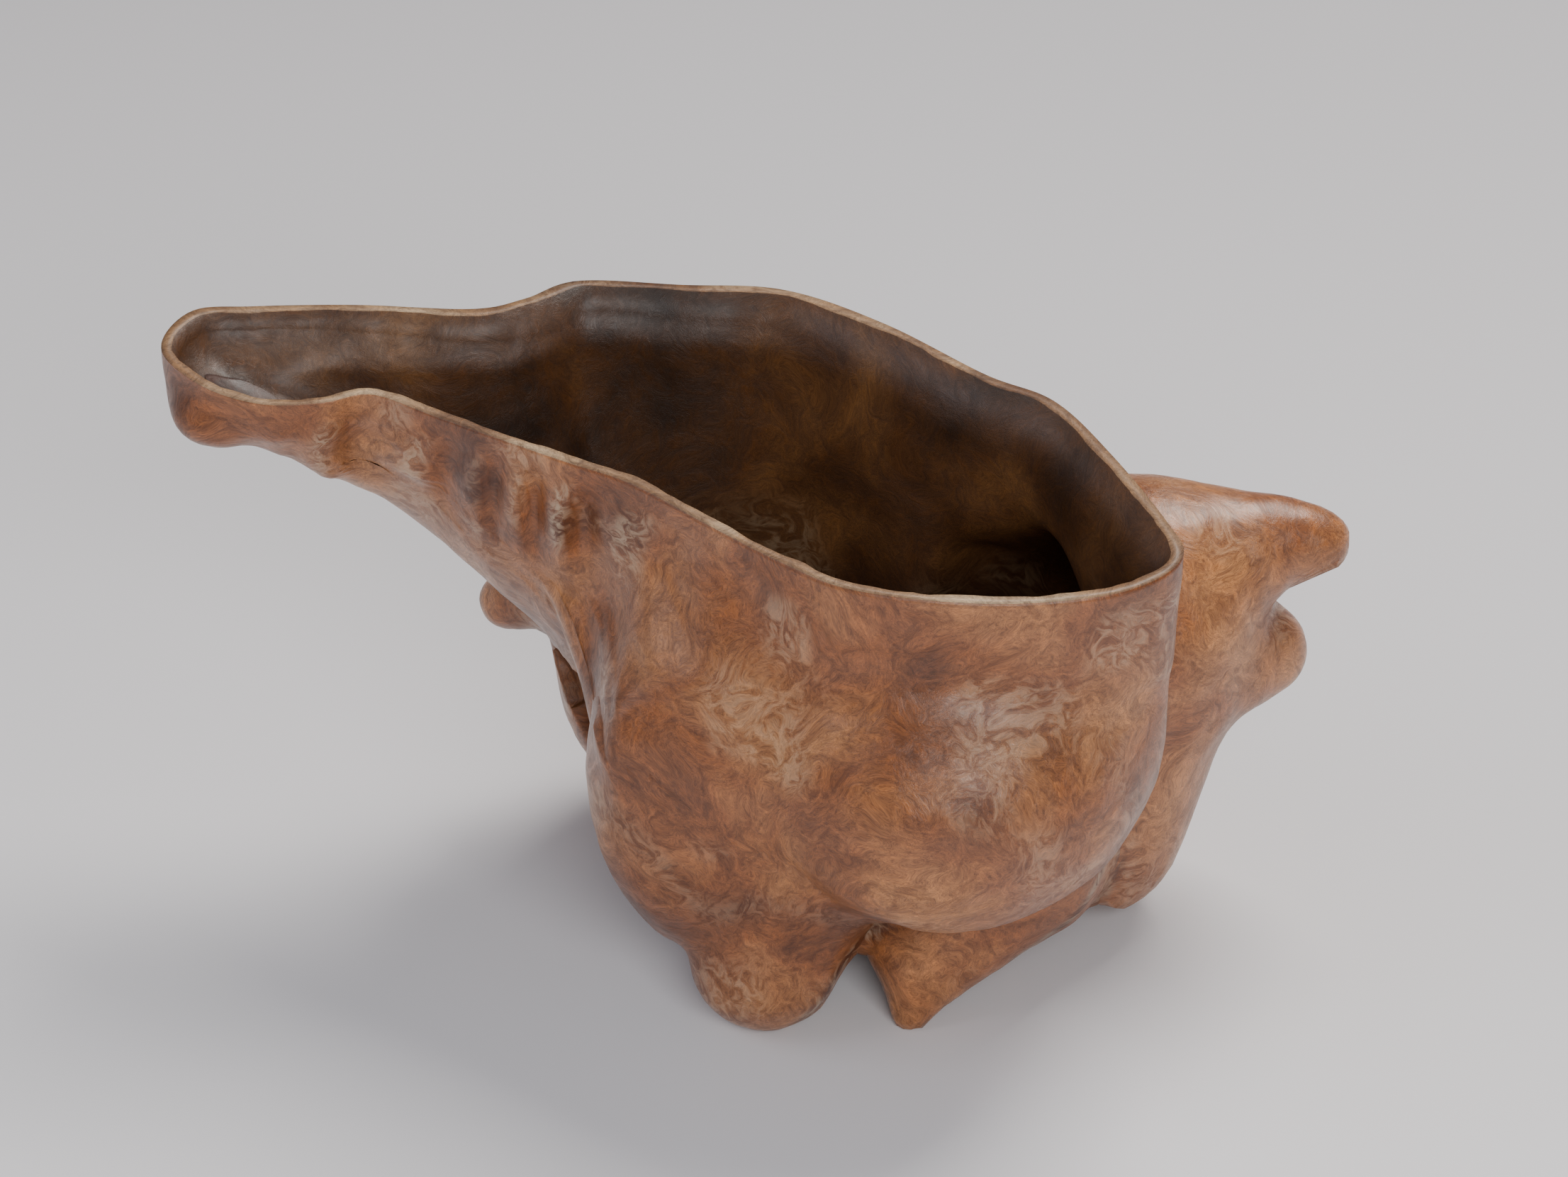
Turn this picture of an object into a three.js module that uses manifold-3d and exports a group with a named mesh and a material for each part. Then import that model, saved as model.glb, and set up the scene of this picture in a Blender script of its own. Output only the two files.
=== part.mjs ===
// Burl wood brush washer: a hollowed root burl with a long trough spout, natural lobes below
// and a horned side growth. Millimetres, +Z up. The open trough runs towards -X, and the full
// round belly faces -Y. The part rests on lobes that are ground flat at z = 0.
import * as THREE from 'three';
import { mergeVertices } from 'three/addons/utils/BufferGeometryUtils.js';
import Module from 'manifold-3d';

const wasm = await Module();
wasm.setup();

// Driving sizes
const RIM_BAND = 3.0;            // width of the flat-cut rim
const WALL = 5.5;                // least wall below the rim
const RIM_BLEND = 14;            // depth over which the wall leaves the rim line
const LIP_BLEND = 12;            // the same, inside
const FLOOR_CUT = 0;             // height of the flat that the feet are ground to
const FOLD_DEPTH = 1.3;          // swell of the folds on the spout's front flank
const FOLD_PITCH = 12.5;         // spacing of the folds along the spout
const FOLD_REACH = 34;           // how far the folds run down from the rim
const CLEARANCE = 0.3;           // gap round the encased knot
const KNOT_LENGTH = 21;          // dead knot encased in the trough's floor near the tip
const KNOT_WIDTH = 11;
const KNOT_DEPTH = 6.5;
const KNOT_PLACE = [-112.5, 80, 107.5];

// how finely the carved surface is laid out
const AROUND = 70;
const OUTER_ROWS = 28;
const INNER_ROWS = 16;
const RIM_STEPS = 8;
const RAY_REACH = 150;
const RAY_STEP = 1.5;
const BISECTIONS = 14;

// rim line, from the spout's tip along the back, round the right end and the front
const RIM_LINE = [
  [-130, 79, 121], [-125, 93, 121], [-112, 96.5, 120], [-90, 97, 120], [-66, 97, 119],
  [-55, 101, 119], [-44, 108, 119], [-22, 108, 118], [0, 106, 118], [21, 93, 118],
  [42, 75, 117], [56, 65, 117], [67, 46, 116.5], [77, 22, 116.5], [79.5, 12, 116],
  [73, 3, 116], [60, -3.5, 116.5], [38, -6, 117], [14, -3, 118], [0, 6, 118],
  [-16, 20, 118], [-31, 33, 118.5], [-46, 41, 119], [-71, 56, 119], [-85, 63, 120],
  [-95, 60, 120], [-108, 59.5, 120], [-121, 66, 120.5],
];

// depth of the keel below the rim, and half-breadth of the carved-out hull, along X
const KEEL_DEPTH = [
  [-134, 9], [-115, 17], [-104, 22], [-90, 33], [-75, 45], [-60, 58], [-45, 72], [-30, 86],
  [-10, 96], [20, 98], [60, 88], [85, 76],
];
const HALF_BREADTH = [
  [-134, 6], [-115, 16], [-95, 18], [-75, 21], [-60, 26], [-45, 33], [-20, 42], [0, 48],
  [20, 48], [50, 36], [85, 18],
];

// the growths of the burl: ellipsoids (centre, radii, tilt about Y in degrees) and
// round cones (two ends with their radii), each joined to its group with its own soft blend.
// Between the groups the bark-side creases stay sharp, as they grew.
const TRUNK = [
  { name: 'front_left_mass', centre: [-4, 30, 58], radii: [36, 34, 48], blend: 12 },
  { name: 'front_belly', centre: [33, 20, 64], radii: [43, 44, 37], blend: 9 },
  { name: 'shoulder_bump', centre: [-30, 14, 70], radii: [9, 9, 10], blend: 6 },
  { name: 'back_mass', centre: [16, 80, 52], radii: [44, 28, 42], blend: 12 },
  { name: 'wing_root', centre: [56, 56, 56], radii: [28, 26, 36], blend: 10 },
  { name: 'tip_knob', centre: [-118, 76, 111.5], radii: [11.5, 14, 9], blend: 5 },
];
const WING = {
  centre: [92, 61, 69],
  growths: [
    { name: 'wing', from: [70, 58, 66], to: [64, 48, 21.5], r0: 30, r1: 22.5, blend: 5 },
    { name: 'horn', from: [80, 61, 76], to: [106, 63, 84], r0: 20, r1: 8, blend: 6 },
    { name: 'horn_knob', centre: [112.4, 63, 82], radii: [7, 7, 7], blend: 4 },
    { name: 'wing_bump', from: [78, 60, 58], to: [101, 61, 56], r0: 24, r1: 10, blend: 4 },
  ],
};
const BOTTOM_LOBE = {
  centre: [40, 24, 19],
  growths: [
    { name: 'bottom_lobe', from: [46, 30, 30], to: [31, 14, 13], r0: 24, r1: 12, blend: 3 },
    { name: 'nub_foot', from: [29, 10, 9], to: [27, 5, 3], r0: 8, r1: 5, blend: 3 },
  ],
};
const LOWER_FRONT = {
  centre: [-8, 14, 28],
  growths: [
    { name: 'lower_front', from: [2, 16, 36], to: [-4, 10, 14], r0: 19, r1: 16, blend: 7 },
    { name: 'left_swirl', centre: [-21, 22, 38], radii: [16, 20, 27], tilt: -14, blend: 4 },
  ],
};
const BACK_EAR = {
  centre: [-51, 86, 56],
  growths: [{ name: 'back_ear', from: [-45, 86, 60], to: [-60, 87, 50], r0: 13, r1: 6.5, blend: 4 }],
};
const BACK_LEFT = {
  centre: [-27, 84, 36],
  growths: [
    { name: 'back_left_mass', centre: [-24, 76, 50], radii: [26, 27, 42], blend: 8 },
    { name: 'back_foot', from: [-22, 76, 36], to: [-19, 74, 13.5], r0: 22, r1: 15, blend: 8 },
  ],
};
// how finely each growth is laid out: steps around and from top to bottom
const GROWTH_GRIDS = [
  [WING, 36, 20], [BOTTOM_LOBE, 28, 18], [LOWER_FRONT, 28, 18], [BACK_EAR, 16, 10], [BACK_LEFT, 28, 18],
];

// rounded pockets carved further out of the inside
const SCOOPS = [
  { centre: [31, 24, 64], radii: [37, 38, 36], blend: 10 },
  { centre: [-10, 64, 60], radii: [34, 36, 42], blend: 10 },
  { centre: [54, 52, 60], radii: [29, 27, 36], blend: 8 },
];

// the fan of rays that lays out the surface starts on a line from the spout to the basin
const FAN_BASIN = [18, 48, 76];
const FAN_SPOUT = [-112, 79, 112];

// small numeric helpers
const clamp = (x, lo, hi) => Math.min(hi, Math.max(lo, x));
const mix = (a, b, t) => a + (b - a) * t;
const ease = (x) => {
  const t = clamp(x, 0, 1);
  return t * t * (3 - 2 * t);
};
const softMin = (a, b, k) => {
  const h = clamp(0.5 + (0.5 * (b - a)) / k, 0, 1);
  return mix(b, a, h) - k * h * (1 - h);
};
const softMax = (a, b, k) => -softMin(-a, -b, k);

function along(table, x) {
  if (x <= table[0][0]) return table[0][1];
  for (let i = 1; i < table.length; i += 1) {
    if (x <= table[i][0]) {
      const t = (x - table[i - 1][0]) / (table[i][0] - table[i - 1][0]);
      return mix(table[i - 1][1], table[i][1], t);
    }
  }
  return table[table.length - 1][1];
}

// rim curve, evenly spaced by length
const rimCurve = new THREE.CatmullRomCurve3(
  RIM_LINE.map(([x, y, z]) => new THREE.Vector3(x, y, z)), true, 'catmullrom', 0.5,
);
rimCurve.arcLengthDivisions = 1200;
const outline = rimCurve.getSpacedPoints(RIM_LINE.length * RIM_STEPS);

// signed distance in plan to the rim line, negative inside
function planDistance(x, y) {
  let best = Infinity;
  let inside = false;
  for (let i = 1; i < outline.length; i += 1) {
    const a = outline[i - 1];
    const b = outline[i];
    const ex = b.x - a.x;
    const ey = b.y - a.y;
    const t = clamp(((x - a.x) * ex + (y - a.y) * ey) / (ex * ex + ey * ey), 0, 1);
    best = Math.min(best, (x - a.x - t * ex) ** 2 + (y - a.y - t * ey) ** 2);
    if (a.y > y !== b.y > y && x < a.x + (ex * (y - a.y)) / ey) inside = !inside;
  }
  return inside ? -Math.sqrt(best) : Math.sqrt(best);
}

// the burl as a distance-like field, negative inside the wood
const mouthHeight = (x) => 118 - 0.018 * x;

// hull that hangs from the rim line: quarter-ellipse sections from the rim to the keel
function hull(x, y, z, inset) {
  const below = mouthHeight(x) - z;
  const deep = along(KEEL_DEPTH, x) - inset;
  const half = along(HALF_BREADTH, x) - inset;
  const q = clamp(below / deep, 0, 1);
  const side = planDistance(x, y) + inset + half * (1 - Math.sqrt(1 - q * q));
  if (below <= deep) return side;
  return Math.max(side, planDistance(x, y) + inset + half + (below - deep) * 0.7);
}

// folds on the front flank of the spout, square to the rim
function folds(x, y, z) {
  const spine = mix(FAN_SPOUT[1], FAN_BASIN[1], ease((x - FAN_SPOUT[0]) / 110));
  const front = ease((spine - 4 - y) / 8);
  const run = ease((x + 108) / 14) * ease((-8 - x) / 18);
  const below = mouthHeight(x) - z;
  const reach = ease((below - 2) / 6) * (1 - ease((below - FOLD_REACH * 0.5) / (FOLD_REACH * 0.5)));
  const lean = x + 0.25 * below;
  return FOLD_DEPTH * front * run * reach * Math.cos((2 * Math.PI * lean) / FOLD_PITCH);
}

function ellipsoid(x, y, z, { centre, radii, tilt = 0 }) {
  const a = (tilt * Math.PI) / 180;
  const dx = x - centre[0];
  const dz = z - centre[2];
  const px = dx * Math.cos(a) - dz * Math.sin(a);
  const py = y - centre[1];
  const pz = dx * Math.sin(a) + dz * Math.cos(a);
  const k0 = Math.hypot(px / radii[0], py / radii[1], pz / radii[2]);
  const k1 = Math.hypot(px / radii[0] ** 2, py / radii[1] ** 2, pz / radii[2] ** 2) + 1e-9;
  return (k0 * (k0 - 1)) / k1;
}

function roundCone(x, y, z, { from, to, r0, r1 }) {
  const ax = [to[0] - from[0], to[1] - from[1], to[2] - from[2]];
  const p = [x - from[0], y - from[1], z - from[2]];
  const l2 = ax[0] ** 2 + ax[1] ** 2 + ax[2] ** 2;
  const rr = r0 - r1;
  const a2 = l2 - rr * rr;
  const s = p[0] * ax[0] + p[1] * ax[1] + p[2] * ax[2];
  const e = s - l2;
  const off = [0, 1, 2].map((i) => p[i] * l2 - ax[i] * s);
  const x2 = off[0] ** 2 + off[1] ** 2 + off[2] ** 2;
  const k = Math.sign(rr) * rr * rr * x2;
  if (Math.sign(e) * a2 * e * e * l2 > k) return Math.sqrt(x2 + e * e * l2) / l2 - r1;
  if (Math.sign(s) * a2 * s * s * l2 < k) return Math.sqrt(x2 + s * s * l2) / l2 - r0;
  return (Math.sqrt((x2 * a2) / l2) + s * rr) / l2 - r0;
}

const growth = (x, y, z, g) => (g.from ? roundCone(x, y, z, g) : ellipsoid(x, y, z, g));

function trunk(x, y, z) {
  let f = hull(x, y, z, 0);
  for (const g of TRUNK) f = softMin(f, growth(x, y, z, g), g.blend);
  return f - folds(x, y, z);
}

// the hollow: the hull set in by the wall, with the scoops, never nearer the outside than WALL
function hollow(x, y, z) {
  let f = hull(x, y, z, WALL);
  for (const g of SCOOPS) f = softMin(f, growth(x, y, z, g), g.blend);
  return softMax(f, trunk(x, y, z) + WALL, 4);
}

// surface laid out by a fan of rays from the spine to the rim and down to the floor
function fan(v, rim) {
  const ax = FAN_SPOUT[0] - FAN_BASIN[0];
  const ay = FAN_SPOUT[1] - FAN_BASIN[1];
  const share = clamp(
    ((rim.x - FAN_BASIN[0]) * ax + (rim.y - FAN_BASIN[1]) * ay) / (ax * ax + ay * ay), 0, 1,
  );
  const t = 0.35 * ease(share) + 0.65 * share;
  const start = FAN_BASIN.map((c, i) => mix(c, FAN_SPOUT[i], t));
  const dx = rim.x - start[0];
  const dy = rim.y - start[1];
  const flat = Math.hypot(dx, dy);
  const rise = Math.atan2(rim.z - start[2], flat);
  const angle = mix(rise, -Math.PI / 2, v);
  const slide = ease((v - 0.4) / 0.6);
  return {
    origin: start.map((c, i) => mix(c, FAN_BASIN[i], slide)),
    ray: [(Math.cos(angle) * dx) / flat, (Math.cos(angle) * dy) / flat, Math.sin(angle)],
  };
}

// length of a ray to the first place where it leaves the field
function reach(field, origin, ray) {
  const at = (r) => field(origin[0] + ray[0] * r, origin[1] + ray[1] * r, origin[2] + ray[2] * r);
  let lo = 1;
  while (lo + RAY_STEP < RAY_REACH && at(lo + RAY_STEP) < 0) lo += RAY_STEP;
  let hi = lo + RAY_STEP;
  for (let i = 0; i < BISECTIONS; i += 1) {
    const mid = (lo + hi) / 2;
    if (at(mid) < 0) lo = mid;
    else hi = mid;
  }
  return (lo + hi) / 2;
}

function sheet(rows, edge, field, blend) {
  const grid = [];
  const outer = rimCurve.getSpacedPoints(AROUND);
  for (let j = 0; j < rows; j += 1) {
    for (let i = 0; i < AROUND; i += 1) {
      if (j === 0) {
        grid.push(edge[i].x, edge[i].y, edge[i].z);
        continue;
      }
      const { origin, ray } = fan(j / rows, outer[i]);
      const r = reach(field, origin, ray);
      const p = origin.map((c, k) => c + ray[k] * r);
      const drop = edge[i].z - p[2];
      const hold = 1 - ease(drop / blend);
      grid.push(
        mix(p[0], edge[i].x, hold), mix(p[1], edge[i].y, hold), Math.min(p[2], edge[i].z - 0.5 * j),
      );
    }
  }
  const down = reach(field, FAN_BASIN, [0, 0, -1]);
  grid.push(FAN_BASIN[0], FAN_BASIN[1], FAN_BASIN[2] - down);
  return grid;
}

function burlGeometry() {
  const rimOut = rimCurve.getSpacedPoints(AROUND).slice(0, AROUND);
  const rimIn = rimOut.map((p, i) => {
    const a = rimOut[(i + AROUND - 1) % AROUND];
    const b = rimOut[(i + 1) % AROUND];
    const l = Math.hypot(b.x - a.x, b.y - a.y);
    const inX = ((b.y - a.y) / l) * RIM_BAND;
    const inY = ((a.x - b.x) / l) * RIM_BAND;
    return new THREE.Vector3(p.x + inX, p.y + inY, p.z);
  });
  const outside = sheet(OUTER_ROWS, rimOut, trunk, RIM_BLEND);
  const inside = sheet(INNER_ROWS, rimIn, hollow, LIP_BLEND);
  const base = outside.length / 3;
  const faces = [];
  const quad = (a, b, c, d) => faces.push(a, b, c, a, c, d);
  const skin = (start, rows, out) => {
    const pole = start + rows * AROUND;
    for (let j = 0; j < rows; j += 1) {
      for (let i = 0; i < AROUND; i += 1) {
        const n = (i + 1) % AROUND;
        const a = start + j * AROUND + i;
        const b = start + j * AROUND + n;
        const c = j + 1 < rows ? b + AROUND : pole;
        const d = j + 1 < rows ? a + AROUND : pole;
        if (c === d) faces.push(...(out ? [a, b, pole] : [b, a, pole]));
        else if (out) quad(a, b, c, d);
        else quad(b, a, d, c);
      }
    }
  };
  skin(0, OUTER_ROWS, true);
  skin(base, INNER_ROWS, false);
  for (let i = 0; i < AROUND; i += 1) {
    const n = (i + 1) % AROUND;
    quad(i, base + i, base + n, n);
  }
  const geometry = new THREE.BufferGeometry();
  geometry.setAttribute('position', new THREE.Float32BufferAttribute([...outside, ...inside], 3));
  geometry.setIndex(faces);
  return geometry;
}

// a growth group laid out by rays from its own centre, pole to pole, and kept out of the hollow
function growthGeometry({ centre, growths }, around, rows) {
  const field = (x, y, z) => {
    let f = growth(x, y, z, growths[0]);
    for (const g of growths.slice(1)) f = softMin(f, growth(x, y, z, g), g.blend);
    return Math.max(f, WALL * 0.4 - hollow(x, y, z));
  };
  const at = (polar, turn) => {
    const ray = [
      Math.sin(polar) * Math.cos(turn), Math.sin(polar) * Math.sin(turn), Math.cos(polar),
    ];
    const r = reach(field, centre, ray);
    return centre.map((c, k) => c + ray[k] * r);
  };
  const points = at(0, 0);
  for (let j = 1; j < rows; j += 1) {
    for (let i = 0; i < around; i += 1) {
      points.push(...at((Math.PI * j) / rows, (2 * Math.PI * i) / around));
    }
  }
  points.push(...at(Math.PI, 0));
  const last = points.length / 3 - 1;
  const faces = [];
  for (let i = 0; i < around; i += 1) {
    const n = (i + 1) % around;
    faces.push(0, 1 + i, 1 + n);
    for (let j = 0; j < rows - 2; j += 1) {
      const a = 1 + j * around;
      faces.push(a + i, a + around + i, a + around + n, a + i, a + around + n, a + n);
    }
    faces.push(last, last - around + n, last - around + i);
  }
  const geometry = new THREE.BufferGeometry();
  geometry.setAttribute('position', new THREE.Float32BufferAttribute(points, 3));
  geometry.setIndex(faces);
  return geometry;
}

// solids
function solid(geometry) {
  const plain = geometry.clone();
  plain.deleteAttribute('normal');
  plain.deleteAttribute('uv');
  const merged = mergeVertices(plain, 1e-4);
  return new wasm.Manifold(new wasm.Mesh({
    numProp: 3,
    vertProperties: new Float32Array(merged.attributes.position.array),
    triVerts: new Uint32Array(merged.index.array),
  }));
}

function geometryOf(body) {
  const mesh = body.getMesh();
  const geometry = new THREE.BufferGeometry();
  geometry.setAttribute('position', new THREE.Float32BufferAttribute(mesh.vertProperties, 3));
  geometry.setIndex(Array.from(mesh.triVerts));
  geometry.computeVertexNormals();
  return geometry;
}

// an almond-shaped knot, grown by the gap for its recess
function knotSolid(grow) {
  const g = new THREE.SphereGeometry(1, 20, 10);
  g.scale(KNOT_LENGTH / 2 + grow, KNOT_WIDTH / 2 + grow, KNOT_DEPTH / 2 + grow);
  g.rotateY(0.22);
  g.translate(...KNOT_PLACE);
  return solid(g);
}

const ground = new THREE.BoxGeometry(400, 400, 60);
ground.translate(0, 50, FLOOR_CUT - 30);
let carved = solid(burlGeometry());
for (const [group, around, rows] of GROWTH_GRIDS) {
  carved = carved.add(solid(growthGeometry(group, around, rows)));
}
carved = carved.subtract(solid(ground));
const body = carved.subtract(knotSolid(CLEARANCE));
const knot = carved.intersect(knotSolid(0));

// assembly
const finish = (color, roughness) => new THREE.MeshStandardMaterial({ color, roughness, metalness: 0 });
const burl = new THREE.Mesh(geometryOf(body), finish(0x8a5530, 0.42));
burl.name = 'burl_body';
const spoutKnot = new THREE.Mesh(geometryOf(knot), finish(0x5a3322, 0.5));
spoutKnot.name = 'spout_knot';

const washer = new THREE.Group();
washer.add(burl, spoutKnot);
const box = new THREE.Box3().setFromObject(washer);
washer.position.set(-(box.min.x + box.max.x) / 2, -(box.min.y + box.max.y) / 2, -box.min.z);
washer.updateMatrixWorld(true);

export default washer;
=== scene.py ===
"""Burl wood brush washer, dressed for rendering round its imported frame.

The wood is drawn as overlapping sheets: the hull with its hollow, and a closed sheet round each
growth that stands out of it, each a function of two parameters worked out as whole arrays.
"""

import bmesh
import bpy
import numpy as np
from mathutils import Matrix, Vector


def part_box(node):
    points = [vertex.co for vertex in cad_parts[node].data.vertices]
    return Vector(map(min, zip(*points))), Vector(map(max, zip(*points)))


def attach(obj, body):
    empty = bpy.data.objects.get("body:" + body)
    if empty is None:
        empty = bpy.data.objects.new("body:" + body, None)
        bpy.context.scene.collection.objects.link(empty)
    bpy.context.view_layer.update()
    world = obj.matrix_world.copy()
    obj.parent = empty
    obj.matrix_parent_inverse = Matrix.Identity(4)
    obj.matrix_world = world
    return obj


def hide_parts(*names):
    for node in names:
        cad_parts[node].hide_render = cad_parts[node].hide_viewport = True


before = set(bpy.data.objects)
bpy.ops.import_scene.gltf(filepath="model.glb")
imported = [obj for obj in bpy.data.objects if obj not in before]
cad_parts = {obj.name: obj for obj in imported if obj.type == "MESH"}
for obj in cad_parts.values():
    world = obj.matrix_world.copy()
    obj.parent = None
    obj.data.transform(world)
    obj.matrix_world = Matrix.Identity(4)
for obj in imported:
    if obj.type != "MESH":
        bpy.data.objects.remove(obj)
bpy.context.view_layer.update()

bl_info = {
    "name": "Burl Brush Washer",
    "version": (1, 0, 0),
    "blender": (4, 5, 0),
    "location": "View3D > Sidebar > Washer",
    "description": "Builds a hollowed burl wood brush washer with a trough spout",
    "category": "Add Mesh",
}

MM = 0.001
PHOTO_WIDTH = 2212            # pixels
PHOTO_FOCAL = 7432.4          # pixels
SENSOR_WIDTH = 36.0           # mm
CAMERA_TILT = 36.0            # degrees above the rim plane
CAMERA_DISTANCE = 1100.0      # mm
CAMERA_AIM = (0.0, 50.0, 80.0)

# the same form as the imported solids, in mm, before the shift to the frame's origin:
# the rim line, then depth of the keel and half breadth against X
RIM_LINE = np.array([
    (-130, 79, 121), (-125, 93, 121), (-112, 96.5, 120), (-90, 97, 120), (-66, 97, 119),
    (-55, 101, 119), (-44, 108, 119), (-22, 108, 118), (0, 106, 118), (21, 93, 118),
    (42, 75, 117), (56, 65, 117), (67, 46, 116.5), (77, 22, 116.5), (79.5, 12, 116),
    (73, 3, 116), (60, -3.5, 116.5), (38, -6, 117), (14, -3, 118), (0, 6, 118),
    (-16, 20, 118), (-31, 33, 118.5), (-46, 41, 119), (-71, 56, 119), (-85, 63, 120),
    (-95, 60, 120), (-108, 59.5, 120), (-121, 66, 120.5),
], float)
KEEL_DEPTH = np.array([
    (-134, 9), (-115, 17), (-104, 22), (-90, 33), (-75, 45), (-60, 58), (-45, 72), (-30, 86),
    (-10, 96), (20, 98), (60, 88), (85, 76),
], float)
HALF_BREADTH = np.array([
    (-134, 6), (-115, 16), (-95, 18), (-75, 21), (-60, 26), (-45, 33), (-20, 42), (0, 48),
    (20, 48), (50, 36), (85, 18),
], float)
FAN_BASIN = np.array([18.0, 48.0, 76.0])
FAN_SPOUT = np.array([-112.0, 79.0, 112.0])
BACK_REACH = 109.2            # farthest that the form goes to the back
RIM_BLEND = 14.0
LIP_BLEND = 12.0
TRUNK_FILLET = 4.0
SKIN_SHARE = 0.4              # of the wall, kept between a growth's rays and the hollow
KNOT_PLACE = (-112.5, 80.0)
KNOT_HALF = (10.5, 5.5)
KNOT_SHARE = 0.86             # of the half sizes that the shown face takes
KNOT_THICK = 2.2
KNOT_CROWN = 0.35

# places along two parameters: outside and inside sheets share the first count
FULL_GRID = {"around": 330, "outer": 150, "inner": 70, "growth": (90, 50)}
BURL, INSIDE, RIM = 0, 1, 2   # places in the carved burl's list of materials

# pattern sizes as cells per metre: 40 and 9 mm, 30 and 20 mm, 5 and 1 mm
SLOW_WARP, QUICK_WARP = 25.0, 110.0
CLOUDS, EYES = 33.0, 50.0
SILK, HAIR = 190.0, 900.0
RING_TURNS = 95.0             # radians per cell from a bird's eye: a ring each 1.3 mm

# each shape is ("ball", centre, radii, tilt, blend) or ("cone", from, to, r0, r1, blend), the
# blend being the softness with which it joins those before it
TRUNK = [
    ("ball", (-4, 30, 58), (36, 34, 48), 0, 12),
    ("ball", (33, 20, 64), (43, 44, 37), 0, 9),
    ("ball", (-30, 14, 70), (9, 9, 10), 0, 6),
    ("ball", (16, 80, 52), (44, 28, 42), 0, 12),
    ("ball", (56, 56, 56), (28, 26, 36), 0, 10),
    ("ball", (-118, 76, 111.5), (11.5, 14, 9), 0, 5),
]
# each growth is (where its rays start, fillet of the crease round it, shapes)
GROWTHS = {
    "wing": ((92, 61, 69), 4.0, [
        ("cone", (70, 58, 66), (64, 48, 21.5), 30, 22.5, 5),
        ("cone", (80, 61, 76), (106, 63, 84), 20, 8, 6),
        ("ball", (112.4, 63, 82), (7, 7, 7), 0, 4),
        ("cone", (78, 60, 58), (101, 61, 56), 24, 10, 4),
    ]),
    "bottom_lobe": ((40, 24, 19), 3.0, [
        ("cone", (46, 30, 30), (31, 14, 13), 24, 12, 3),
        ("cone", (29, 10, 9), (27, 5, 2.5), 8, 4.5, 3),
    ]),
    "lower_front": ((-8, 14, 28), 11.0, [
        ("cone", (2, 16, 36), (-4, 10, 14), 19, 16, 7),
        ("ball", (-21, 22, 38), (16, 20, 27), -14, 4),
    ]),
    "back_ear": ((-51, 86, 56), 6.0, [("cone", (-45, 86, 60), (-60, 87, 50), 13, 6.5, 4)]),
    "back_left": ((-27, 84, 36), 6.0, [
        ("ball", (-24, 76, 50), (26, 27, 42), 0, 8),
        ("cone", (-22, 76, 36), (-19, 74, 13.5), 22, 15, 8),
    ]),
}
SCOOPS = [
    ("ball", (31, 24, 64), (37, 38, 36), 0, 10),
    ("ball", (-10, 64, 60), (34, 36, 42), 0, 10),
    ("ball", (54, 52, 60), (29, 27, 36), 0, 8),
]


def rgb(code):
    """sRGB hex to the linear values that Blender's sockets hold."""
    values = [int(code[i:i + 2], 16) / 255 for i in (1, 3, 5)]
    return [c / 12.92 if c <= 0.04045 else ((c + 0.055) / 1.055) ** 2.4 for c in values]


def ease(x):
    """Smooth step from 0 to 1."""
    x = np.clip(x, 0, 1)
    return x * x * (3 - 2 * x)


def soft_min(a, b, k):
    """Minimum of two fields with a rounded valley of size k between them."""
    h = np.clip(0.5 + 0.5 * (b - a) / k, 0, 1)
    return b + (a - b) * h - k * h * (1 - h)


def closed_curve(points, count):
    """Closed Catmull-Rom curve through the points, as count places evenly spaced by length."""
    t = np.linspace(0, 1, 40, endpoint=False)[:, None, None]
    a, b = np.roll(points, 1, 0), points
    c, d = np.roll(points, -1, 0), np.roll(points, -2, 0)
    q = 0.5 * (2 * b + (c - a) * t + (2 * a - 5 * b + 4 * c - d) * t**2
               + (3 * b - a - 3 * c + d) * t**3)
    q = q.transpose(1, 0, 2).reshape(-1, 3)
    q = np.concatenate([q, q[:1]])
    s = np.concatenate([[0], np.cumsum(np.linalg.norm(np.diff(q, axis=0), axis=1))])
    at = np.linspace(0, s[-1], count, endpoint=False)
    return np.stack([np.interp(at, s, q[:, k]) for k in range(3)], 1)


def plan_distance_grid(step=1.5):
    """Signed distance in plan to the rim line on a regular grid, negative inside: the least
    distance to its short edges, with the sign from counting the edges that a ray crosses."""
    loop = closed_curve(RIM_LINE, 224)[:, :2]
    xs, ys = np.arange(-152, 142, step), np.arange(-62, 162, step)
    x, y = (g.ravel()[:, None] for g in np.meshgrid(xs, ys, indexing="ij"))
    a, b = loop, np.roll(loop, -1, 0)
    e = b - a
    t = np.clip(((x - a[:, 0]) * e[:, 0] + (y - a[:, 1]) * e[:, 1]) / (e**2).sum(1), 0, 1)
    d = np.sqrt(((x - a[:, 0] - t * e[:, 0])**2 + (y - a[:, 1] - t * e[:, 1])**2).min(1))
    rise = np.where(np.abs(e[:, 1]) < 1e-9, 1e-9, e[:, 1])
    hits = ((a[:, 1] > y) != (b[:, 1] > y)) & (x < e[:, 0] * (y - a[:, 1]) / rise + a[:, 0])
    d = np.where(hits.sum(1) % 2 == 1, -d, d)
    return xs, ys, d.reshape(len(xs), len(ys))


PLAN = plan_distance_grid()


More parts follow.
